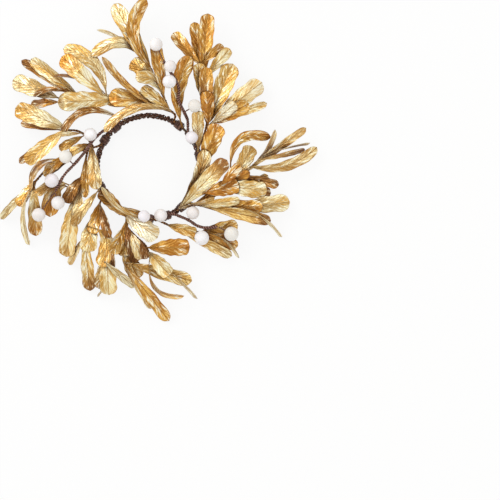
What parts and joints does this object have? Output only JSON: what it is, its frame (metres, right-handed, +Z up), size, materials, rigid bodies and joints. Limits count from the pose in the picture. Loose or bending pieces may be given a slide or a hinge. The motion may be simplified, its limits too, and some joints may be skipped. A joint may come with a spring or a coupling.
{
  "type": "candle ring",
  "caption": "Wire candle ring wrapped in brown paper, dressed with sprays of gold foil leaves and white berries round an open middle for a pillar candle.",
  "frame": {"origin": "centre of the open middle, on the table that the ring lies on", "axes": "+Z up out of the middle along the candle; +Y towards the tips of the tallest spray, +X to its right seen from above"},
  "size_m": [0.2555, 0.2585, 0.039],
  "materials": {
    "gold_leaf": "metallised foil, satin to glossy, veined",
    "white_berry": "matte",
    "brown_paper": "rough, twisted",
    "binding_wire": "satin brown",
    "steel_wire": "bare drawn wire"
  },
  "bodies": {
    "root": {"berry_bindings": "binding_wire", "berry_bottom_1": "white_berry", "berry_bottom_2": "white_berry", "berry_bottom_3": "white_berry", "berry_bottom_4": "white_berry", "berry_bottom_5": "white_berry", "berry_left_1": "white_berry", "berry_left_2": "white_berry", "berry_left_3": "white_berry", "berry_left_4": "white_berry", "berry_left_5": "white_berry", "berry_top_1": "white_berry", "berry_top_2": "white_berry", "berry_top_3": "white_berry", "berry_top_4": "white_berry", "berry_top_5": "white_berry", "bottom_berry_stems": "brown_paper", "bottom_left_leaves": "gold_leaf", "bottom_middle_leaves": "gold_leaf", "bottom_outer_leaves": "gold_leaf", "bottom_right_leaves": "gold_leaf", "bottom_ring_leaves": "gold_leaf", "bottom_spray_stems": "brown_paper", "bottom_tip_leaves": "gold_leaf", "corner_spray_stems": "brown_paper", "left_berry_stems": "brown_paper", "left_middle_leaves": "gold_leaf", "left_outer_leaves": "gold_leaf", "left_ring_leaves": "gold_leaf", "left_spray_stems": "brown_paper", "left_tip_leaves": "gold_leaf", "low_spray_stems": "brown_paper", "right_crest_leaves": "gold_leaf", "right_outer_leaves": "gold_leaf", "right_ring_leaves": "gold_leaf", "right_spray_stems": "brown_paper", "right_tip_leaves": "gold_leaf", "ring_core": "steel_wire", "ring_wrap_1": "brown_paper", "ring_wrap_2": "brown_paper", "ring_wrap_3": "brown_paper", "side_low_leaves": "gold_leaf", "side_middle_leaves": "gold_leaf", "side_outer_leaves": "gold_leaf", "side_ring_leaves": "gold_leaf", "side_spray_stems": "brown_paper", "side_tip_leaves": "gold_leaf", "stem_bindings": "binding_wire", "top_berry_stems": "brown_paper", "top_crest_leaves": "gold_leaf", "top_crown_leaves": "gold_leaf", "top_middle_leaves": "gold_leaf", "top_outer_leaves": "gold_leaf", "top_spray_stems": "brown_paper", "top_tip_leaves": "gold_leaf"}
  },
  "joints": []
}
